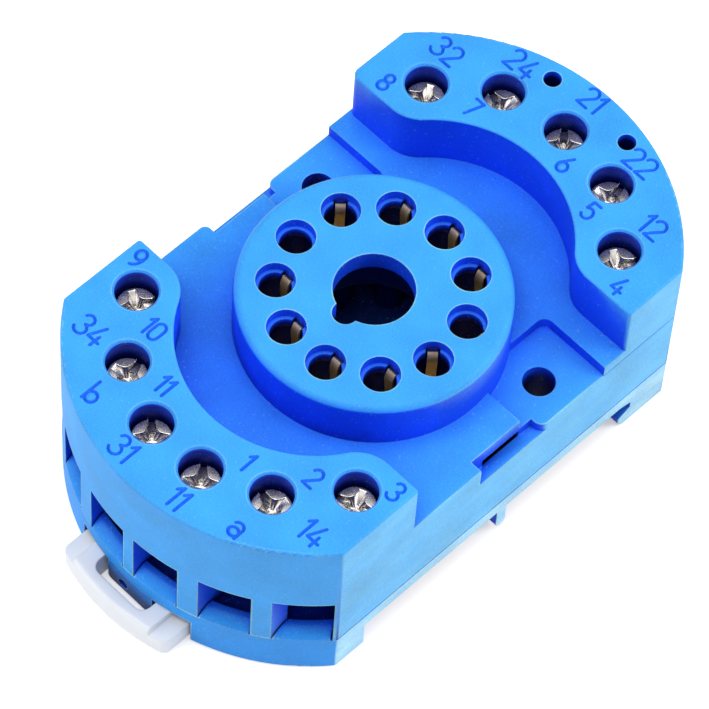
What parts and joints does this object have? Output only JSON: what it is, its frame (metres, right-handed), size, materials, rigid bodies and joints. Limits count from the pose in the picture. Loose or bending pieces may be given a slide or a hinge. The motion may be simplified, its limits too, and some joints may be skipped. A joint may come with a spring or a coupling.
{
  "type": "relay socket",
  "caption": "Plug-in relay socket with a keyed ring of pin holes, screw clamp terminals on two raised blocks, and a rail foot with a sliding clip.",
  "frame": {"origin": "on the key bore's axis, in the disc's top face where the relay seats", "axes": "+Z out of the key bore towards the relay; +X along the socket, away from the rail clip; +Y across it, so the flats face +Y and -Y"},
  "size_m": [0.0675, 0.0382, 0.0224],
  "materials": {
    "blue_housing_plastic": "fine matt moulded",
    "blue_base_plastic": "fine matt moulded",
    "white_clip_plastic": "satin moulded, slightly translucent",
    "nickel_plated_steel": "dull nickel plate",
    "zinc_plated_steel": "zinc plate",
    "contact_brass": "rolled sheet brass"
  },
  "bodies": {
    "socket": {"upper_housing": "blue_housing_plastic", "base_cover": "blue_base_plastic", "contact_01": "contact_brass", "contact_02": "contact_brass", "contact_03": "contact_brass", "contact_04": "contact_brass", "contact_05": "contact_brass", "contact_06": "contact_brass", "contact_07": "contact_brass", "contact_08": "contact_brass", "contact_09": "contact_brass", "contact_10": "contact_brass", "contact_11": "contact_brass"},
    "clip": {"rail_clip": "white_clip_plastic"},
    "screw_01": {"terminal_screw_01": "nickel_plated_steel"},
    "cage_01": {"clamp_cage_01": "zinc_plated_steel"},
    "screw_02": {"terminal_screw_02": "nickel_plated_steel"},
    "cage_02": {"clamp_cage_02": "zinc_plated_steel"},
    "screw_03": {"terminal_screw_03": "nickel_plated_steel"},
    "cage_03": {"clamp_cage_03": "zinc_plated_steel"},
    "screw_04": {"terminal_screw_04": "nickel_plated_steel"},
    "cage_04": {"clamp_cage_04": "zinc_plated_steel"},
    "screw_05": {"terminal_screw_05": "nickel_plated_steel"},
    "cage_05": {"clamp_cage_05": "zinc_plated_steel"},
    "screw_06": {"terminal_screw_06": "nickel_plated_steel"},
    "cage_06": {"clamp_cage_06": "zinc_plated_steel"},
    "screw_07": {"terminal_screw_07": "nickel_plated_steel"},
    "cage_07": {"clamp_cage_07": "zinc_plated_steel"},
    "screw_08": {"terminal_screw_08": "nickel_plated_steel"},
    "cage_08": {"clamp_cage_08": "zinc_plated_steel"},
    "screw_09": {"terminal_screw_09": "nickel_plated_steel"},
    "cage_09": {"clamp_cage_09": "zinc_plated_steel"},
    "screw_10": {"terminal_screw_10": "nickel_plated_steel"},
    "cage_10": {"clamp_cage_10": "zinc_plated_steel"},
    "screw_11": {"terminal_screw_11": "nickel_plated_steel"},
    "cage_11": {"clamp_cage_11": "zinc_plated_steel"}
  },
  "joints": [
    {"name": "clip_pull", "type": "slide", "parent": "socket", "child": "clip", "axis": [-1, 0, 0], "range_m": [0, 0.0025], "stiffness_N_per_m": 2000},
    {"name": "screw_01_turn", "type": "hinge", "parent": "socket", "child": "screw_01", "pos_m": [-0.02609, -0.00335, -0.0025], "axis": [0, 0, 1], "range_deg": [-2165, 0]},
    {"name": "cage_01_rise", "type": "slide", "parent": "socket", "child": "cage_01", "axis": [0, 0, 1], "range_m": [0, 0.003]},
    {"name": "screw_02_turn", "type": "hinge", "parent": "socket", "child": "screw_02", "pos_m": [-0.02313, -0.00988, -0.0025], "axis": [0, 0, 1], "range_deg": [-2165, 0]},
    {"name": "cage_02_rise", "type": "slide", "parent": "socket", "child": "cage_02", "axis": [0, 0, 1], "range_m": [0, 0.003]},
    {"name": "screw_03_turn", "type": "hinge", "parent": "socket", "child": "screw_03", "pos_m": [-0.01713, -0.01505, -0.0025], "axis": [0, 0, 1], "range_deg": [-2165, 0]},
    {"name": "cage_03_rise", "type": "slide", "parent": "socket", "child": "cage_03", "axis": [0, 0, 1], "range_m": [0, 0.003]},
    {"name": "screw_04_turn", "type": "hinge", "parent": "socket", "child": "screw_04", "pos_m": [0.02012, -0.01324, -0.0025], "axis": [0, 0, 1], "range_deg": [-2165, 0]},
    {"name": "cage_04_rise", "type": "slide", "parent": "socket", "child": "cage_04", "axis": [0, 0, 1], "range_m": [0, 0.003]},
    {"name": "screw_05_turn", "type": "hinge", "parent": "socket", "child": "screw_05", "pos_m": [0.02504, -0.00743, -0.0025], "axis": [0, 0, 1], "range_deg": [-2165, 0]},
    {"name": "cage_05_rise", "type": "slide", "parent": "socket", "child": "cage_05", "axis": [0, 0, 1], "range_m": [0, 0.003]},
    {"name": "screw_06_turn", "type": "hinge", "parent": "socket", "child": "screw_06", "pos_m": [0.0262, 0, -0.0025], "axis": [0, 0, 1], "range_deg": [-2165, 0]},
    {"name": "cage_06_rise", "type": "slide", "parent": "socket", "child": "cage_06", "axis": [0, 0, 1], "range_m": [0, 0.003]},
    {"name": "screw_07_turn", "type": "hinge", "parent": "socket", "child": "screw_07", "pos_m": [0.02504, 0.00743, -0.0025], "axis": [0, 0, 1], "range_deg": [-2165, 0]},
    {"name": "cage_07_rise", "type": "slide", "parent": "socket", "child": "cage_07", "axis": [0, 0, 1], "range_m": [0, 0.003]},
    {"name": "screw_08_turn", "type": "hinge", "parent": "socket", "child": "screw_08", "pos_m": [0.02012, 0.01324, -0.0025], "axis": [0, 0, 1], "range_deg": [-2165, 0]},
    {"name": "cage_08_rise", "type": "slide", "parent": "socket", "child": "cage_08", "axis": [0, 0, 1], "range_m": [0, 0.003]},
    {"name": "screw_09_turn", "type": "hinge", "parent": "socket", "child": "screw_09", "pos_m": [-0.01713, 0.01505, -0.0025], "axis": [0, 0, 1], "range_deg": [-2165, 0]},
    {"name": "cage_09_rise", "type": "slide", "parent": "socket", "child": "cage_09", "axis": [0, 0, 1], "range_m": [0, 0.003]},
    {"name": "screw_10_turn", "type": "hinge", "parent": "socket", "child": "screw_10", "pos_m": [-0.02313, 0.00988, -0.0025], "axis": [0, 0, 1], "range_deg": [-2165, 0]},
    {"name": "cage_10_rise", "type": "slide", "parent": "socket", "child": "cage_10", "axis": [0, 0, 1], "range_m": [0, 0.003]},
    {"name": "screw_11_turn", "type": "hinge", "parent": "socket", "child": "screw_11", "pos_m": [-0.02609, 0.00335, -0.0025], "axis": [0, 0, 1], "range_deg": [-2165, 0]},
    {"name": "cage_11_rise", "type": "slide", "parent": "socket", "child": "cage_11", "axis": [0, 0, 1], "range_m": [0, 0.003]}
  ],
  "couplings": [
    {"joint": "screw_01_turn", "follows": "cage_01_rise", "rad_per_m": -12566},
    {"joint": "screw_02_turn", "follows": "cage_02_rise", "rad_per_m": -12566},
    {"joint": "screw_03_turn", "follows": "cage_03_rise", "rad_per_m": -12566},
    {"joint": "screw_04_turn", "follows": "cage_04_rise", "rad_per_m": -12566},
    {"joint": "screw_05_turn", "follows": "cage_05_rise", "rad_per_m": -12566},
    {"joint": "screw_06_turn", "follows": "cage_06_rise", "rad_per_m": -12566},
    {"joint": "screw_07_turn", "follows": "cage_07_rise", "rad_per_m": -12566},
    {"joint": "screw_08_turn", "follows": "cage_08_rise", "rad_per_m": -12566},
    {"joint": "screw_09_turn", "follows": "cage_09_rise", "rad_per_m": -12566},
    {"joint": "screw_10_turn", "follows": "cage_10_rise", "rad_per_m": -12566},
    {"joint": "screw_11_turn", "follows": "cage_11_rise", "rad_per_m": -12566}
  ]
}
